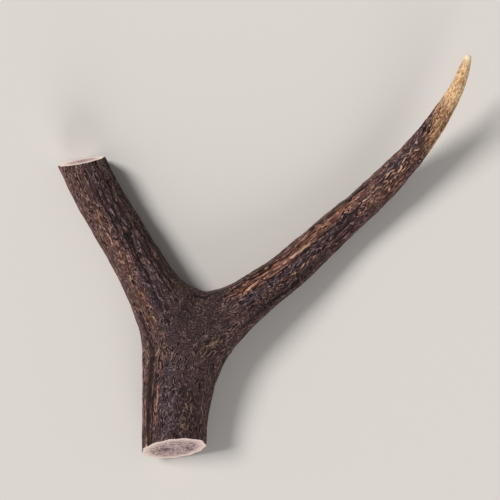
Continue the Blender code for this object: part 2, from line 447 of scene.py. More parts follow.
def raise_broad_ridges(mesh):
    """Moves each vertex out along its normal by the ridge and the pearl at its place."""
    tip = Vector(TINE[-1][:3]) * MM
    heights = []
    for v, length, degrees in zip(mesh.vertices, along * MM, angle):
        turn = math.radians(degrees)
        place = Vector((math.cos(turn), math.sin(turn), (length + CAD_START) / RIDGE_WANDER_LENGTH))
        wander = RIDGE_WANDER * noise.noise(place)
        ridge = RIDGE_HEIGHT * math.cos(RIDGES * turn + 2 * math.pi * wander)
        ridge *= np.interp((v.co - FORK_MIDDLE).length, FORK_WITHOUT_RIDGES, (0.0, 1.0))
        pearl = PEARL_HEIGHT * noise.noise(v.co / PEARL_SIZE)
        unpolished = np.interp((v.co - tip).length, (0.0, SMOOTH_TIP_LENGTH), (0.0, 1.0))
        heights.append((ridge + pearl) * unpolished)
    moves = [v.normal * height for v, height in zip(mesh.vertices, heights)]
    for v, move in zip(mesh.vertices, moves):
        v.co += move
    return heights


ridge_heights = raise_broad_ridges(antler.data)
print(f"broad ridges: {min(ridge_heights) / MM:.2f} to {max(ridge_heights) / MM:.2f} mm")

# %% [markdown]
# ## Zones of the skin
#
# No two sides of an antler look alike. Long cords run where the antler faced forward, a smooth slate
# band lies on top of the tine, the fork is all short wrinkles, and where the deer rubbed it against
# branches the ridges are polished to tan and cream. Some zones are partly painted light: the slate
# zone is partly a painted sheen of the sky, mostly on upward sides, the polished zone on the tine is
# partly a painted highlight, and the shaded zone is painted shade on the sides away from the window
# light. Each zone is a soft patch in growth positions: the arm, the distance along it, the angle
# round it, and how far it reaches. They are stored on the points, and both the bark and the finishes
# read them.

# %% Zones as soft patches
# For each zone and arm: from and to in mm along, from and to in degrees round, how strongly the zone
# shows there and, where it isn't as usual, how softly the patch ends along and round
ZONES = {
    "cords": {
        "beam": (
            (0, 100, 128, 190, 1.0), (95, 210, -60, 30, 0.7), (0, 90, -20, 15, 1.0),
            (100, 210, -150, -110, 0.8),
        ),
        "tine": ((90, 215, 108, 185, 1.0), (110, 240, -120, -80, 1.0)),
    },
    "plates": {
        "beam": ((0, 90, 30, 125, 1.0), (0, 90, -140, -60, 0.7)),
        "tine": ((110, 175, 30, 80, 0.8), (120, 220, -70, -10, 0.6)),
    },
    "crested": {
        "beam": ((24, 56, 44, 80, 1.0),),
        "tine": ((72, 100, 36, 76, 1.0), (118, 205, 30, 80, 0.6), (205, 262, 60, 130, 0.7)),
    },
    # Polished crests, paler also as a painted highlight on the sides that face the light
    "worn": {
        "beam": ((110, 205, 100, 160, 0.3), (0, 60, 112, 135, 0.3)),
        "tine": ((116, 265, 70, 146, 0.8, 20.0), (200, 265, 36, 80, 0.5)),
    },
    # A grey-violet tone that is partly a painted sheen of the sky on the upward sides
    "slate": {
        "beam": ((15, 92, 78, 124, 0.7), (92, 125, 72, 100, 1.0), (105, 200, 45, 95, 0.6)),
        "tine": (
            (112, 205, 78, 106, 0.8, 6.0, 8.0), (205, 262, 95, 140, 0.8), (120, 240, -60, -20, 0.5),
        ),
    },
    "tan": {
        "beam": (
            (104, 172, 106, 122, 0.5, 6.0, 7.0), (24, 60, 122, 134, 0.5, 6.0, 6.0),
            (66, 104, 112, 136, 0.5), (10, 100, -150, -100, 0.4),
        ),
        "tine": (
            (116, 180, 110, 142, 1.0, 16.0, 7.0), (170, 225, 108, 146, 0.7),
            (212, 262, 50, 104, 0.4), (100, 230, -170, -130, 0.4),
        ),
    },
    "olive": {
        "beam": ((26, 54, 50, 80, 0.6), (104, 200, 122, 155, 0.4)),
        "tine": ((72, 100, 42, 74, 0.7), (104, 215, 150, 185, 0.6), (252, 300, 20, 80, 0.5)),
    },
    # Painted shade: darker skin on the sides that face away from the window light
    "shaded": {
        "beam": ((100, 205, -30, 42, 1.0), (0, 95, 136, 152, 0.8, 6.0, 8.0), (0, 95, -30, 30, 0.6)),
        "tine": ((100, 262, -40, 34, 0.7),),
    },
}
# Up to this many millimetres along, the lower beam belongs to both arms.
SHARED_BEAM = 70.0
# The fork's wrinkles fade between these distances from its middle, in mm.
FORK_FADES = (10.0, 44.0)
# In mm along the tine: where it turns pale, how much sooner on one side than in the middle, and the
# degrees round to that side
PALE_START, PALE_SLANT, PALE_SIDE = 270.0, 13.0, 15.0


def turn_from(middle, degrees):
    """How far angles are turned from a middle one, from -180 to 180 degrees."""
    return (degrees - middle + 180.0) % 360.0 - 180.0


def patch(arm, start, end, low, high, strength, soft_along=6.0, soft_angle=14.0):
    """A soft patch on an arm, in millimetres along it and degrees round it. 90 degrees is on top."""
    grain, degrees = {"beam": (beam_grain, beam_angle), "tine": (tine_grain, tine_angle)}[arm]
    share = tine_share if arm == "tine" else 1.0 - tine_share
    distance = grain[:, 2] / MM
    share = np.where(distance < SHARED_BEAM, 1.0, share)
    lengthwise = smooth_share(distance, start - soft_along, start + soft_along)
    lengthwise *= 1.0 - smooth_share(distance, end - soft_along, end + soft_along)
    off, reach = abs(turn_from((low + high) / 2, degrees)), (high - low) / 2
    inside = 1.0 - smooth_share(off, reach - soft_angle, reach + soft_angle)
    return strength * (share * lengthwise * inside)


def strongest(draw, arms):
    """The strongest at each point of the patches or marks that are listed for each arm."""
    drawn = [draw(arm, *row) for arm, rows in arms.items() for row in rows]
    return np.clip(np.max(drawn, axis=0), 0.0, 1.0)


zones = {zone: strongest(patch, arms) for zone, arms in ZONES.items()}
from_fork = np.linalg.norm(points - np.array(FORK_MIDDLE), axis=1) / MM
zones["fork"] = 1.0 - smooth_share(from_fork, *FORK_FADES)
pale_start = PALE_START - PALE_SLANT * np.cos(np.radians(angle - PALE_SIDE))
for name, start, end in (
    ("tip", pale_start - 21.0, pale_start + 14.0),
    ("polish", PALE_START, 298.0),
    ("end", 311.0, 314.0),
):
    zones[name] = np.where(on_tine, smooth_share(along, start, end), 0.0)
for name, values in zones.items():
    keep_on_points(antler.data, name, values)
shares = {name: round(float(values.mean()), 2) for name, values in zones.items()}
print("share of the points in each zone:", shares)

# %% [markdown]
# ## Round it once more
#
# A single streak is about a millimetre wide, so the mesh has to be finer before one can be placed.
# The second rounding carries all that was stored along: the new points lie between the old ones, and
# so do their values.

# %% Round it once more
SECOND_LEVELS = 2


def values_on_points(mesh, name):
    """A named attribute as a row of values or vectors, one for each vertex."""
    attribute = mesh.attributes[name]
    size, field = (3, "vector") if attribute.data_type == "FLOAT_VECTOR" else (1, "value")
    values = np.empty(len(mesh.vertices) * size, np.float32)
    attribute.data.foreach_get(field, values)
    return values.reshape(-1, size).squeeze()


round_off(antler, SECOND_LEVELS)
print("points after the second rounding:", len(antler.data.vertices))

# %% [markdown]
# ## Grooves, rubbed marks and painted glints
#
# Two kinds of mark are few and large, so they are placed one by one, each from one place on the
# growth to another. Grooves are where arteries lay under the velvet: long, dark and a little wavy.
# Rubbed marks are crests and pearls that were worn through the stain to the pale bone. Some of them
# are painted glints, where light catches a crest.

# %% Grooves, rubbed marks and painted glints
# For each arm: start and end (mm along, degrees round), half width in mm, strength
GROOVES = {
    "beam": (
        (8, 146, 64, 147, 1.1, 0.7), (70, 147, 104, 143, 0.9, 0.7), (10, 136, 58, 135, 0.4, 0.7),
        (98, 88, 118, 80, 0.5, 0.9), (116, 79, 178, 70, 0.5, 0.9), (122, 86, 150, 78, 0.4, 0.8),
        (138, 93, 178, 80, 0.5, 0.8), (106, 54, 140, 58, 0.5, 0.8), (108, 44, 150, 42, 0.6, 0.8),
        (148, 52, 196, 46, 0.5, 0.8),
    ),
    "tine": (
        (98, 157, 150, 149, 0.7, 1.0), (118, 141, 176, 132, 0.6, 1.0), (106, 134, 124, 128, 0.4, 0.9),
        (114, 121, 134, 120, 0.3, 0.8), (126, 107, 206, 98, 0.4, 0.7), (176, 150, 218, 145, 0.7, 0.9),
        (158, 76, 200, 72, 0.4, 0.8), (110, 50, 150, 46, 0.6, 0.8), (190, 95, 206, 93, 0.5, 0.9),
    ),
}
RUBBED_AND_GLINTS = {
    "beam": (
        (15, 152, 17, 150, 0.6, 0.9), (28, 130, 36, 129, 0.4, 0.5), (42, 127, 54, 126, 0.5, 0.6),
        (51, 120, 53, 113, 0.7, 0.5), (67, 141, 79, 140, 0.6, 0.5), (68, 127, 77, 127, 0.5, 0.6),
        (80, 134, 92, 120, 0.8, 0.4), (84, 112, 87, 111, 0.5, 0.6), (93, 114, 99, 115, 0.4, 0.7),
        (94, 110, 112, 97, 0.4, 0.5), (38, 80, 43, 70, 0.5, 0.5), (110, 114, 117, 115, 0.8, 0.5),
        (122, 121, 127, 113, 0.7, 0.6), (127, 108, 135, 102, 0.5, 0.5), (138, 118, 141, 107, 0.7, 0.6),
        (145, 113, 153, 117, 0.6, 0.6), (156, 115, 168, 105, 0.6, 0.7), (154, 152, 158, 168, 0.6, 0.6),
        (126, 62, 127, 62, 0.4, 0.8),
    ),
    "tine": (
        (109, 126, 122, 124, 0.5, 0.5), (122, 116, 132, 114, 0.6, 0.8), (134, 118, 150, 121, 0.5, 0.6),
        (149, 119, 169, 112, 0.8, 0.8), (153, 115, 172, 107, 0.5, 0.7), (150, 126, 164, 121, 0.5, 0.6),
        (141, 86, 143, 87, 0.4, 0.7), (149, 83, 151, 79, 0.6, 1.0), (155, 76, 158, 80, 0.5, 0.9),
        (80, 58, 87, 60, 0.6, 0.6), (90, 98, 93, 95, 0.5, 0.5), (182, 134, 190, 135, 0.9, 0.5),
        (196, 140, 218, 136, 0.9, 0.5), (172, 113, 200, 107, 0.4, 0.5), (199, 101, 204, 106, 0.4, 0.6),
        (210, 97, 214, 97, 0.6, 1.0), (216, 108, 221, 117, 0.4, 0.8), (217, 104, 223, 91, 0.6, 0.9),
        (218, 68, 221, 62, 0.8, 0.6), (225, 78, 231, 82, 0.6, 0.5), (226, 107, 236, 107, 0.5, 0.9),
        (234, 86, 236, 79, 0.8, 0.8), (237, 90, 246, 107, 0.5, 0.9), (246, 107, 251, 97, 0.4, 0.6),
        (250, 108, 252, 115, 0.5, 0.9), (253, 98, 255, 86, 0.5, 1.0), (257, 118, 262, 127, 0.5, 0.7),
        (264, 113, 267, 110, 0.5, 0.7),
    ),
}
# Sideways wander in mm, each with the length over which it changes, and how much a mark comes and goes
MARK_WANDER = ((1.3, 8.0 * MM), (0.9, 3.0 * MM))
MARK_FADE, MARK_FADE_LENGTH = 0.8, 3.0 * MM
MARK_STRENGTHS = (0.3, 1.2)


def noise_on_points(length):
    """A smooth random value from about -1 to 1 for each vertex, which changes over a length."""
    return np.array([noise.noise(v.co / length) for v in antler.data.vertices])


wander = sum(amount * noise_on_points(length) for amount, length in MARK_WANDER)
fade = np.clip(1.0 + MARK_FADE * noise_on_points(MARK_FADE_LENGTH), *MARK_STRENGTHS)
growth = {arm: values_on_points(antler.data, f"{arm}_grain") for arm in ("beam", "tine")}


def streak(arm, start, start_angle, end, end_angle, half_width, strength):
    """A narrow streak between two places on an arm."""
    x, y, distance = growth[arm].T
    t = np.clip((distance - start) / (end - start), 0.0, 1.0)
    overrun = distance - (start + t * (end - start))
    off = turn_from(start_angle + t * (end_angle - start_angle), np.degrees(np.arctan2(y, x)))
    sideways = np.radians(off) * np.hypot(x, y) + wander
    return strength * fade * np.exp(-((sideways / half_width) ** 2) - (overrun / (2 * half_width)) ** 2)


for name, arms in (("groove", GROOVES), ("rubbed", RUBBED_AND_GLINTS)):
    keep_on_points(antler.data, name, strongest(streak, arms))
    print(f"{name}: {sum(map(len, arms.values()))} marks")

# %% [markdown]
# ## Bark
#
# Under the velvet, small vessels press a net of hollows into the growing bone, with worm-like crests
# between them. It could be painted as bump alone, but then the outline and the sawn rims would stay
# smooth, so the crests are real relief. They repeat without end and follow the surface, which is a
# task for Geometry Nodes. The stain must follow the same crests, finer than any mesh can hold. So one
# function builds the pattern for both kinds of tree: a node group that moves points, and a node group
# that colours. The kinds of node that they are made of are named first. The first group gives three
# noises at one arm's grain position, each with cells of its own shape: squarish plates, lozenges and
# long cords.

# %% Names for the kinds of node
NOISE = Kind("ShaderNodeTexNoise", {}, ("Vector", "Scale", "Detail", "Roughness", "Distortion"))
SEEDED_NOISE = Kind(
    "ShaderNodeTexNoise", {"noise_dimensions": "4D"}, ("Vector", "W", "Scale", "Detail")
)
ADD, SUBTRACT, MULTIPLY, MULTIPLY_ADD, ABSOLUTE, SINE = (
    Kind("ShaderNodeMath", {"operation": name})
    for name in ("ADD", "SUBTRACT", "MULTIPLY", "MULTIPLY_ADD", "ABSOLUTE", "SINE")
)
MOVE, MOVE_BACK, DIVIDE = (
    Kind("ShaderNodeVectorMath", {"operation": name}) for name in ("ADD", "SUBTRACT", "DIVIDE")
)
SCALE = Kind("ShaderNodeVectorMath", {"operation": "SCALE"}, (0, 3))
COMBINE = Kind("ShaderNodeCombineXYZ")
# From a first and a last value to 0 and 1, or to a third and a fourth value
RANGE = Kind("ShaderNodeMapRange")
SOFT_RANGE = Kind("ShaderNodeMapRange", {"interpolation_type": "SMOOTHSTEP"})
# A share from 0 to 1, and the two values or colours that it leads between
MIX = Kind("ShaderNodeMix", {}, (0, 2, 3))
COLOUR_MIX = Kind("ShaderNodeMix", {"data_type": "RGBA"}, (0, 6, 7))
VALUE, VECTOR, SHAPE, FINISH = (
    "NodeSocketFloat", "NodeSocketVector", "NodeSocketGeometry", "NodeSocketMaterial",
)


def new_group(kind, name, inputs, outputs):
    """A node group, what adds a node to it, the sockets that give its inputs, and its result node."""
    tree = bpy.data.node_groups.new(name, kind)
    for label, socket_kind, default in inputs:
        socket = tree.interface.new_socket(name=label, in_out="INPUT", socket_type=socket_kind)
        if default is not None:
            socket.default_value = default
    for label, socket_kind in outputs:
        tree.interface.new_socket(name=label, in_out="OUTPUT", socket_type=socket_kind)
    given, result = tree.nodes.new("NodeGroupInput").outputs, tree.nodes.new("NodeGroupOutput")
    return tree, partial(add_node, tree), given, result


print("a mix of colours is a node of the type", COLOUR_MIX.type)

# %% A node group: noises that follow one arm's grain
# Sizes across and along the growth, in millimetres
BARK_SIZES = {
    "Plate width": 2.3,
    "Plate length": 4.4,
    "Lozenge width": 1.7,
    "Lozenge length": 12.0,
    "Cord width": 1.5,
    "Cord length": 30.0,
    "Wrinkle size": 1.7,
    "Wander": 1.0,
    "Seed": 3.0,
}
SIZE_INPUTS = [(label, VALUE, size) for label, size in BARK_SIZES.items()]
# The name of one cell of each noise, and how far it sways, as a multiple of the cords' sway
SKINS = {"Plates": ("Plate", 7.0), "Lozenges": ("Lozenge", 3.0), "Cords": ("Cord", 1.0)}
# The swirls that the grain sways with, for each millimetre: one in 7 mm
SWIRLS = 0.14


def grain_group(kind):
    """Three noises at a grain position in millimetres: plates, lozenges and cords."""
    inputs, outputs = [("Grain", VECTOR, None), *SIZE_INPUTS], [(label, VALUE) for label in SKINS]
    tree, add, given, result = new_group(kind, f"grain {kind}", inputs, outputs)

    # The grain sways sideways, so that no crest runs dead straight. Cords sway least.
    swirl = add(SEEDED_NOISE, (given["Grain"], given["Seed"], SWIRLS, 1.0))
    sway = add(MOVE_BACK, (swirl.outputs["Color"], (0.5, 0.5, 0.5)))
    sway = add(SCALE, (sway, given["Wander"]))
    for seed, (label, (cell, sway_reach)) in enumerate(SKINS.items()):
        offset = add(SCALE, (sway, sway_reach))
        swayed = add(MOVE, (given["Grain"], offset))
        width, length = given[f"{cell} width"], given[f"{cell} length"]
        cell_size = add(COMBINE, (width, width, length))
        in_cells = add(DIVIDE, (swayed, cell_size))
        own_seed = add(ADD, (given["Seed"], 5.0 * seed))
        plug(result, {label: add(SEEDED_NOISE, (in_cells, own_seed, 1.0, 1.4))})
    return tree


grain_groups = {kind: grain_group(kind) for kind in ("GeometryNodeTree", "ShaderNodeTree")}
print("nodes in a grain group:", len(grain_groups["ShaderNodeTree"].nodes))

# %% [markdown]
# ## One relief for both arms
#
# The second group asks the first one for each arm and picks between them. The two skins meet in the
# fork along a ragged line. The zones decide how much of each noise shows, and short wrinkles without
# a direction fill the fork. Then a profile turns the noise into creases or crests.

# %% A node group: the relief at any point of the skin
BARK_ZONES = ("tine_share", "fork", "cords", "plates", "crested", "groove")
# The cells in a metre of three noises: rags of 6 mm where the arms meet, patches of 8 mm in which
# one kind of skin ends and another begins, and breaks of 2.5 mm in the creases
RAGS, PATCHES, BREAKS = 160.0, 120.0, 400.0
# What each zone adds to the patches, and the levels between which its kind of skin takes over
TAKING_OVER = {
    "plates": (0.32, 0.7, 0.82),
    "cords": (0.45, 0.68, 0.82),
    "fork": (0.5, 0.74, 0.94),
    "crested": (0.35, 0.6, 0.75),
}


def bark_group(kind):
    """The bark's relief, from 0 in the creases to 1 on lips and crests."""
    places = [(name, VECTOR, None) for name in (*GRAINS, "Place")]
    inputs = places + [(name, VALUE, None) for name in BARK_ZONES] + SIZE_INPUTS
    tree, add, given, result = new_group(kind, f"bark {kind}", inputs, [("Relief", VALUE)])
    sizes = {label: given[label] for label in BARK_SIZES}
    group_node, grain = kind.replace("Tree", "Group"), grain_groups[kind]
    on_beam, on_tine = (
        add(group_node, {"Grain": given[name], **sizes}, node_tree=grain) for name in GRAINS
    )
    rags, patchy, breaks = (
        add(NOISE, (given["Place"], cells, 1.0)) for cells in (RAGS, PATCHES, BREAKS)
    )

    # The two arms' skins interlock along a ragged line in the fork.
    rags = add(SUBTRACT, (rags, 0.5))
    edge = add(MULTIPLY_ADD, (rags, 1.4, given["tine_share"]))
    side = add(SOFT_RANGE, (edge, 0.35, 0.65))
    plates, lozenges, cords = (
        add(MIX, (side, on_beam.outputs[label], on_tine.outputs[label])) for label in SKINS
    )

    # The fork has short wrinkles without a direction.
    metres = add(MULTIPLY, (given["Wrinkle size"], MM))
    cell_size = add(COMBINE, (metres, metres, metres))
    in_cells = add(DIVIDE, (given["Place"], cell_size))
    wrinkles = add(NOISE, (in_cells, 1.0, 2.0, 0.5, 0.8))

    # Lozenges are the rule. The others take over in their zones, and in patches elsewhere.
    taken = {}
    for zone, (added, start, end) in TAKING_OVER.items():
        share = add(MULTIPLY_ADD, (given[zone], added, patchy))
        taken[zone] = add(SOFT_RANGE, (share, start, end))
    level = lozenges
    for zone, skin in (("plates", plates), ("cords", cords), ("fork", wrinkles)):
        level = add(MIX, (taken[zone], level, skin))

    # A noise's middle level is a set of winding lines. In most places they are creases, each with a
    # lip on both sides and sunken ground behind it, less sunken on plates. In crested places they
    # are crests themselves.
    off_line = add(SUBTRACT, (level, 0.5))
    off_line = add(ABSOLUTE, (off_line,))
    lip = add(SOFT_RANGE, (off_line, 0.01, 0.052))
    sunk = add(MULTIPLY_ADD, (taken["plates"], -0.08, 0.6))
    behind = add(SOFT_RANGE, (off_line, 0.05, 0.13, 0.0, sunk))
    creases = add(SUBTRACT, (lip, behind))
    # Creases come and go, so that they don't join up into a maze.
    unbroken = add(SOFT_RANGE, (breaks, 0.4, 0.54, 0.45, 1.0))
    creases = add(MIX, (unbroken, 0.6, creases))
    crests = add(SOFT_RANGE, (off_line, 0.01, 0.06, 1.0, 0.27))
    relief = add(MIX, (taken["crested"], creases, crests))

    # The arteries' grooves
    ungrooved = add(SUBTRACT, (1.0, given["groove"]), use_clamp=True)
    relief = add(MULTIPLY, (relief, ungrooved))
    plug(result, {"Relief": relief})
    return tree


bark_for_shape, bark_for_colour = (bark_group(kind) for kind in grain_groups)
print("nodes in a bark group:", len(bark_for_shape.nodes))

# %% [markdown]
# ## The tree that raises the bark
#
# The main tree reads the stored zones, asks the group for the relief at each point, and moves the
# point out or in along its normal. Cords stand a little higher than the net. Towards the polished tip
# it all fades. The tree ends in Realize Instances and Set Material, so that what comes out is a plain
# mesh with its finish.

# %% The main tree: bark on the whole antler
# Millimetres from the lowest to the highest place
BARK_HEIGHTS = {"Bark height": 0.3, "Cord height": 0.35, "Mark height": 0.25}


def bark_tree():
    """Raises the bark on a mesh that has grain positions and zones on its points."""
    heights = [(label, VALUE, height) for label, height in BARK_HEIGHTS.items()]
    inputs = [("Geometry", SHAPE, None), ("Material", FINISH, None), *SIZE_INPUTS, *heights]
    outputs = [("Geometry", SHAPE)]
    tree, add, given, result = new_group("GeometryNodeTree", "bark relief", inputs, outputs)

    stored = {}
    for name in (*GRAINS, *BARK_ZONES, "rubbed", "polish"):
        kind = "FLOAT_VECTOR" if name in GRAINS else "FLOAT"
        stored[name] = add("GeometryNodeInputNamedAttribute", {"Name": name}, data_type=kind)
    inputs = {name: stored[name] for name in (*GRAINS, *BARK_ZONES)}
    inputs.update({label: given[label] for label in BARK_SIZES})
    inputs["Place"] = add("GeometryNodeInputPosition")
    relief = add("GeometryNodeGroup", inputs, node_tree=bark_for_shape)

    height = add(MIX, (stored["cords"], given["Bark height"], given["Cord height"]))
    level = add(SUBTRACT, (relief, 0.5))
    level = add(MULTIPLY, (level, height))
    level = add(MULTIPLY_ADD, (stored["rubbed"], given["Mark height"], level))
    unpolished = add(SUBTRACT, (1.0, stored["polish"]))
    level = add(MULTIPLY, (level, unpolished))
    level = add(MULTIPLY, (level, MM))
    normal = add("GeometryNodeInputNormal")
    move = add(SCALE, (normal, level))
    moved = add("GeometryNodeSetPosition", {"Geometry": given["Geometry"], "Offset": move})
    whole = add("GeometryNodeRealizeInstances", {"Geometry": moved})
    done = add("GeometryNodeSetMaterial", {"Geometry": whole, "Material": given["Material"]})
    plug(result, {"Geometry": done})
    return tree


bark = bark_tree()
print("nodes in the bark tree:", len(bark.nodes))

# %% [markdown]
# ## Finish of the skin
#
# Antler is bone. Its skin is stained dark by sap, soil and the blood of the velvet, and the stain
# stays deepest in the hollows. Crests wear to grey-brown, and to tan where the deer rubbed them. The
# creases are darkened further as painted shade, and the crests lightened as a painted highlight.
# It could be an image, but a pattern from the same group as the relief lies exactly on the crests and
# has no seam. Worn crests are smoother than hollows, which gives the satin glints.

# %% Stained antler bark, with painted shade and highlights
BONE_IOR = 1.55
# The cells in a metre of two noises: mottling of 8 mm, and grit of 1 mm, as coarse as it has to be
# to show
MOTTLE, GRIT = 130.0, 1100.0
# Millimetres across and along the growth
FLECK_SIZE = (0.8, 0.8, 2.0)
# The depth of what is too fine for the mesh, where the pattern goes from 0 to 1
BUMP_DEPTH = 0.6 * MM
# Each zone's colour of the skin between the creases, and of its lips and crests
TINTS = {
    "fork": ("#2e2023", "#8c716c"),
    "plates": ("#3a2829", "#6d5452"),
    # Polished crests, and a painted highlight on the tine's lit side
    "worn": ("#4c2f2a", "#b99080"),
    # Grey-violet skin, partly a painted sheen of the sky
    "slate": ("#38292e", "#756267"),
    "tan": ("#643c2f", "#c4947c"),
    "olive": ("#402f29", "#806b5a"),
    # Painted shade: darker body and lips on the sides that face away from the window light
    "shaded": ("#34221f", "#7d6057"),
}


def stained_and_shaded_bark():
    """Antler bone under a stain of sap and dried blood: hollows dark by stain and painted shade, crests
    pale by wear and painted highlight, satin sheen.
    """
    material, add, shader = new_finish("stained and shade-painted antler bark")
    stored = {}
    for name in (*GRAINS, "tine_share", "groove", "rubbed", *zones):
        node = add("ShaderNodeAttribute", attribute_name=name)
        stored[name] = node.outputs["Vector" if name in GRAINS else "Fac"]

    place = add("ShaderNodeTexCoord").outputs["Object"]
    mottle = add(NOISE, (place, MOTTLE, 3.0))
    off_mottle = add(SUBTRACT, (mottle, 0.5))
    grit = add(NOISE, (place, GRIT, 2.0, 0.6))
    grit = add(SUBTRACT, (grit, 0.5))

    # The bark was grown before the antler moved to the frame, so its places are moved back.
    inputs = {name: stored[name] for name in (*GRAINS, *BARK_ZONES)}
    inputs["Place"] = add(MOVE_BACK, (place, move_to_frame))
    relief = add("ShaderNodeGroup", inputs, node_tree=bark_for_colour)

    # A body colour and lips, each tinted zone by zone. The lips are paler by wear and partly as a
    # painted highlight.
    patchy = add(SOFT_RANGE, (mottle, 0.35, 0.65))
    body = add(COLOUR_MIX, (patchy, "#432c2a", "#4e332d"))
    lips = add(COLOUR_MIX, (patchy, "#876967", "#96746b"))
    for zone, (body_tint, lip_tint) in TINTS.items():
        share = add(MULTIPLY_ADD, (off_mottle, 1.2, stored[zone]))
        share = add(SOFT_RANGE, (share, 0.25, 0.85))
        body = add(COLOUR_MIX, (share, body, body_tint))
        lips = add(COLOUR_MIX, (share, lips, lip_tint))
    crest = add(MULTIPLY_ADD, (grit, 0.75, relief))
    out_of_crease = add(SOFT_RANGE, (crest, 0.06, 0.5))
    onto_lip = add(SOFT_RANGE, (crest, 0.5, 1.0))

    # Rubbed marks show the bare bone, with ragged edges that follow the relief. Some are painted
    # glints.
    raised = add(RANGE, (crest, 0.0, 1.0, 0.7, 1.25))
    bare = add(MULTIPLY, (raised, stored["rubbed"]))
    bare = add(SOFT_RANGE, (bare, 0.25, 0.75))
    rubbed_bone_and_glints = add(COLOUR_MIX, (stored["rubbed"], "#8a6150", "#d9b196"))

    # Towards the tip the stain gives way to bare bone, first golden brown between rubbed crests and
    # then ivory with fine olive flecks along it.
    in_flecks = add(DIVIDE, (stored["tine_grain"], FLECK_SIZE))
    flecks = add(NOISE, (in_flecks, 1.0, 3.0))
    off_flecks = add(SUBTRACT, (flecks, 0.5))
    flecked = add(SOFT_RANGE, (flecks, 0.38, 0.6))
    out_of_gold = add(SOFT_RANGE, (crest, 0.2, 0.85))
    golden = add(COLOUR_MIX, (out_of_gold, "#4c2e1a", "#cc9f79"))
    ivory = add(COLOUR_MIX, (flecked, "#a9845a", "#e8c69b"))
    onto_ivory = add(SOFT_RANGE, (stored["polish"], 0.2, 0.9))
    bone = add(COLOUR_MIX, (onto_ivory, golden, ivory))
    far = add(MULTIPLY_ADD, (stored["tip"], 1.7, -0.7))
    far = add(MULTIPLY_ADD, (off_flecks, 2.0, far))
    far = add(MULTIPLY_ADD, (off_mottle, 1.2, far))
    far = add(SOFT_RANGE, (far, 0.1, 0.5))

    # Near-black in the creases and grooves, both stain and painted shade, and over it one layer after
    # another, each where it shows
    layers = ((out_of_crease, body), (onto_lip, lips), (bare, rubbed_bone_and_glints), (far, bone))
    colour = "#150909"
    for share, layer in (*layers, (stored["end"], "#f9e3c3")):
        colour = add(COLOUR_MIX, (share, colour, layer))

    faded = add(RANGE, (stored["polish"], 0.0, 1.0, 1.0, 0.3))
    height = add(MULTIPLY_ADD, (grit, 0.5, relief))
    height = add(MULTIPLY_ADD, (stored["rubbed"], 0.5, height))
    height = add(MULTIPLY, (height, faded))
    bump = {"Height": height, "Strength": 1.0, "Distance": BUMP_DEPTH}
    plug(shader, {
        "Base Color": colour,
        "Roughness": add(SOFT_RANGE, (crest, 0.2, 1.0, 0.7, 0.42)),
        "IOR": BONE_IOR,
        "Specular IOR Level": 0.2,
        "Normal": add("ShaderNodeBump", bump),
    })
    return material


bark_finish = stained_and_shaded_bark()
print("nodes in the bark finish:", len(bark_finish.node_tree.nodes))

# %% [markdown]
# ## Finish of the sawn faces
#
# A saw leaves bone matt. The outer wall is dense and cream. Inside it is a sponge of thin bone with
# open pores, darker because light is lost in them. Three values stored on the face's points drive
# the finish: the distance from the rim, as a share of the hard wall's thickness, how much the pores
# crowd, and how deep a pore is.

# %% Sawn bone
FACE_VALUES = ("from_rim", "sponge", "pore")
# The distance between growth rings, as a share of the hard wall's thickness
GROWTH_RING = 0.54
# The cells in a metre of the net of thin bone: 1.4 mm each
BONE_NET = 700.0


def sawn_bone():
    """Bone cut by a saw: a hard cream rim round a mauve core, dark where its pores crowd."""
    material, add, shader = new_finish("sawn antler bone")
    from_rim, sponge, pore = (
        add("ShaderNodeAttribute", attribute_name=name).outputs["Fac"] for name in FACE_VALUES
    )
    place = add("ShaderNodeTexCoord").outputs["Object"]
    net = add(NOISE, (place, BONE_NET, 3.0, 0.6))
    off = add(SUBTRACT, (net, 0.5))
    depth = add(MULTIPLY_ADD, (off, 1.25, from_rim))
    wall = add(SOFT_RANGE, (depth, 0.12, 0.75))
    core = add(SOFT_RANGE, (depth, 0.75, 1.5))
    speckle = add(RANGE, (net, 0.42, 0.58))
    spongy = add(COLOUR_MIX, (speckle, "#82656a", "#d9bfbd"))
    crowded = add(RANGE, (speckle, 0.0, 1.0, 1.0, 0.5))
    crowded = add(MULTIPLY, (crowded, sponge))
    # Years of growth lie round the wall as faint rings.
    turn = add(MULTIPLY, (depth, 2 * math.pi / GROWTH_RING))
    ring = add(SINE, (turn,))
    ring = add(SOFT_RANGE, (ring, 0.2, 1.0, 0.0, 0.35))
    # Pores, and the patches where they crowd, are darkened as painted shade in the pores.
    layers = ((wall, "#ead1c8"), (ring, "#a5807c"), (core, spongy), (crowded, "#54383e"))
    colour = "#fdece3"
    for share, layer in (*layers, (pore, "#2c1c20")):
        colour = add(COLOUR_MIX, (share, colour, layer))
    plug(shader, {"Base Color": colour, "Roughness": 0.62, "IOR": BONE_IOR})
    return material


bone_finish = sawn_bone()
print("nodes in the bone finish:", len(bone_finish.node_tree.nodes))

# %% [markdown]
# ## Grow the bark
#
# The tree raises the relief on the fine mesh. That mesh is far finer than it needs to be on the flat
# places, so a Decimate modifier thins it: it keeps its triangles where the surface bends most, which
# is on the crests.

# %% Grow the bark
SKIN_TRIANGLES = 165_000

antler.data.materials.append(bark_finish)
growing = antler.modifiers.new("bark", "NODES")
growing.node_group = bark
settings = {"Material": bark_finish, **BARK_HEIGHTS}
for item in bark.interface.items_tree:
    if item.in_out == "INPUT" and item.name in settings:
        growing[item.identifier] = settings[item.name]
keep_modified(antler)
grown_triangles = 2 * len(antler.data.polygons)
thinning = antler.modifiers.new("thinning", "DECIMATE")
thinning.ratio = SKIN_TRIANGLES / grown_triangles
keep_modified(antler)
antler.data.transform(Matrix.Translation(move_to_frame))
print("triangles:", grown_triangles, "thinned to", len(antler.data.polygons))

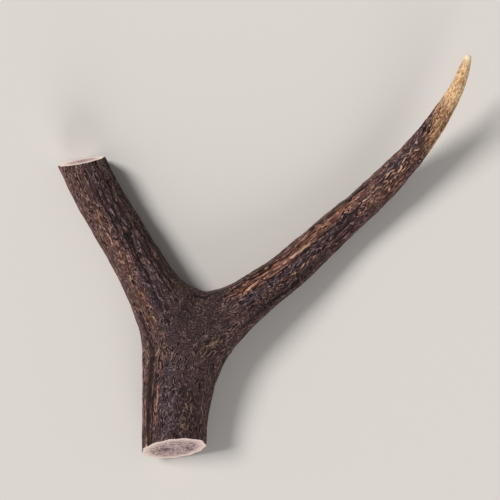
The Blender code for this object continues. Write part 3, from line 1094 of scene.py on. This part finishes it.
# %% [markdown]
# ## Saw both ends
#
# A plane cuts the skin at each mount, as the saw did, so the rim shows the bark's real profile. The
# open end is then closed with a fine net of triangles. They make room for the pores of the core,
# which sink a little below the sawn plane.

# %% Saw both ends
SAW_REACH = 45.0 * MM
FACE_SPACING = 0.4 * MM
# What the triangulation is asked for: only triangles inside the border, and points that are further
# apart than this, in metres, left apart
TRIANGLES_INSIDE, LEFT_APART = 1, 1e-9
PORE_DEPTH = 0.45 * MM
# In mm, like the places on a sawn face that it divides
PORE_SIZE = 1.3
# Pores begin where the hard wall ends and soon reach their full depth, both in shares of the wall's
# thickness. They open where the noise passes a level, and sooner where they crowd.
PORES_START, PORES_SOFT = 1.0, 0.6
PORE_LEVEL, PORE_STEEPNESS = 0.62, 6.0
# Thickness of the hard wall in mm, and where pores crowd: sideways and up from the middle, width and
# height in mm, and strength
SAWN_FACES = {
    "lower_cut": (3.4, ((6, 1, 5, 5, 1.0), (-8, -1, 4, 5, 0.8))),
    "upper_cut": (4.4, ((0, 0, 5, 5, 0.4),)),
}


def clipped(value):
    """A value held between 0 and 1."""
    return min(1.0, max(0.0, value))


def saw_off(bm, point, outward):
    """Cuts away what lies beyond a plane near a point, and returns the rim's vertices in order."""
    verts = [v for v in bm.verts if (v.co - point).length < SAW_REACH]
    near = set(verts)
    edges = [e for e in bm.edges if near.issuperset(e.verts)]
    faces = [f for f in bm.faces if near.issuperset(f.verts)]
    cut = bmesh.ops.bisect_plane(
        bm, geom=verts + edges + faces, plane_co=point, plane_no=outward, clear_outer=True
    )
    # A set has no order of its own, so the walk round the rim starts at the first edge of the cut.
    start, *others = (e for e in cut["geom_cut"] if isinstance(e, bmesh.types.BMEdge))
    rim, loop = set(others), list(start.verts)
    while rim:
        edge = next(e for e in loop[-1].link_edges if e in rim)
        rim.remove(edge)
        loop.append(edge.other_vert(loop[-1]))
    return loop[:-1]


def grid_inside(outline):
    """Points of a triangular grid inside an outline, and how far each one is from it."""
    row_height = FACE_SPACING * math.sqrt(0.75)
    reach = int(abs(outline).max() / row_height) + 2
    rows = np.arange(-reach, reach + 1)
    columns, rows = np.meshgrid(rows, rows)
    grid = np.column_stack(((columns + rows % 2 / 2).ravel() * FACE_SPACING, rows.ravel() * row_height))
    inside = np.zeros(len(grid), bool)
    gap = np.full(len(grid), np.inf)
    for start, end in zip(outline, np.roll(outline, -1, axis=0)):
        run = end - start
        t = np.clip((grid - start) @ run / (run @ run), 0, 1)
        gap = np.minimum(gap, np.linalg.norm(grid - start - t[:, None] * run, axis=1))
        crosses = (start[1] > grid[:, 1]) != (end[1] > grid[:, 1])
        level = (grid[:, 1] - start[1]) / (run[1] or 1.0)
        inside ^= crosses & (grid[:, 0] < start[0] + level * run[0])
    keep = inside & (gap > 0.5 * FACE_SPACING)
    return grid[keep], gap[keep]


def crowd_and_pore(place, from_rim, clusters):
    """How much the pores crowd at a place on a sawn face and how deep a pore is, both from 0 to 1."""
    crowd = max(
        strength * math.exp(-(((place.x - x) / width) ** 2) - ((place.y - y) / height) ** 2)
        for x, y, width, height, strength in clusters
    )
    inside = clipped((from_rim - PORES_START) / PORES_SOFT)
    level = noise.noise(Vector((place.x, place.y, 0.0)) / PORE_SIZE)
    pore = clipped((level - PORE_LEVEL + PORE_LEVEL * crowd) * PORE_STEEPNESS)
    return crowd * inside, pore * inside


def fill_face(bm, rim, outward, wall, clusters):
    """Closes a sawn rim with fine triangles, and sinks the pores."""
    side = outward.cross((0.0, 0.0, 1.0)).normalized()
    upward = side.cross(outward).normalized()
    centre = sum((v.co for v in rim), Vector()) / len(rim)
    flat = [Vector(((v.co - centre).dot(side), (v.co - centre).dot(upward))) for v in rim]
    grid, gap = grid_inside(np.array(flat))
    border = [(k, (k + 1) % len(rim)) for k in range(len(rim))]
    places, _, triangles, origins, _, _ = geometry.delaunay_2d_cdt(
        flat + [Vector(p) for p in grid], border, [], TRIANGLES_INSIDE, LEFT_APART
    )
    layers = [bm.verts.layers.float[name] for name in FACE_VALUES]
    verts = []
    for place, sources in zip(places, origins):
        source = min(sources)
        if source < len(rim):
            verts.append(rim[source])
            continue
        distance = gap[source - len(rim)] / (wall * MM)
        crowd, depth = crowd_and_pore(place / MM, distance, clusters)
        sawn = centre + side * place.x + upward * place.y
        verts.append(bm.verts.new(sawn - outward * depth * PORE_DEPTH))
        for layer, value in zip(layers, (distance, crowd, depth)):
            verts[-1][layer] = value
    faces = [bm.faces.new([verts[k] for k in corners]) for corners in triangles]
    for face in faces:
        face.material_index = 1
        face.smooth = True
        face.normal_update()
        if face.normal.dot(outward) < 0:
            face.normal_flip()
    for k, vert in enumerate(rim):
        bm.edges.get((vert, rim[(k + 1) % len(rim)])).smooth = False
    return faces


antler.data.materials.append(bone_finish)
bm = bmesh.new()
bm.from_mesh(antler.data)
for name in FACE_VALUES:
    bm.verts.layers.float.new(name)
for name, (wall, clusters) in SAWN_FACES.items():
    point, outward = Vector(mounts[name]["pos_m"]), Vector(mounts[name]["axis"]).normalized()
    rim = saw_off(bm, point, outward)
    faces = fill_face(bm, rim, outward, wall, clusters)
    print(f"{name}: {len(rim)} points on the rim, {len(faces)} faces")
# The bark's lowest crests are pressed level with the floor that they rest on.
for v in bm.verts:
    v.co.z = max(v.co.z, 0.0)
bm.to_mesh(antler.data)
bm.free()
antler.data.name = "antler"
print("triangles of the antler:", sum(len(p.vertices) - 2 for p in antler.data.polygons))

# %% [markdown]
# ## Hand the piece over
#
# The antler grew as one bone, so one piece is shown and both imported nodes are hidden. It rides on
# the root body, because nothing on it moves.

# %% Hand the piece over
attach(antler, "root")
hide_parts("beam", "tine")
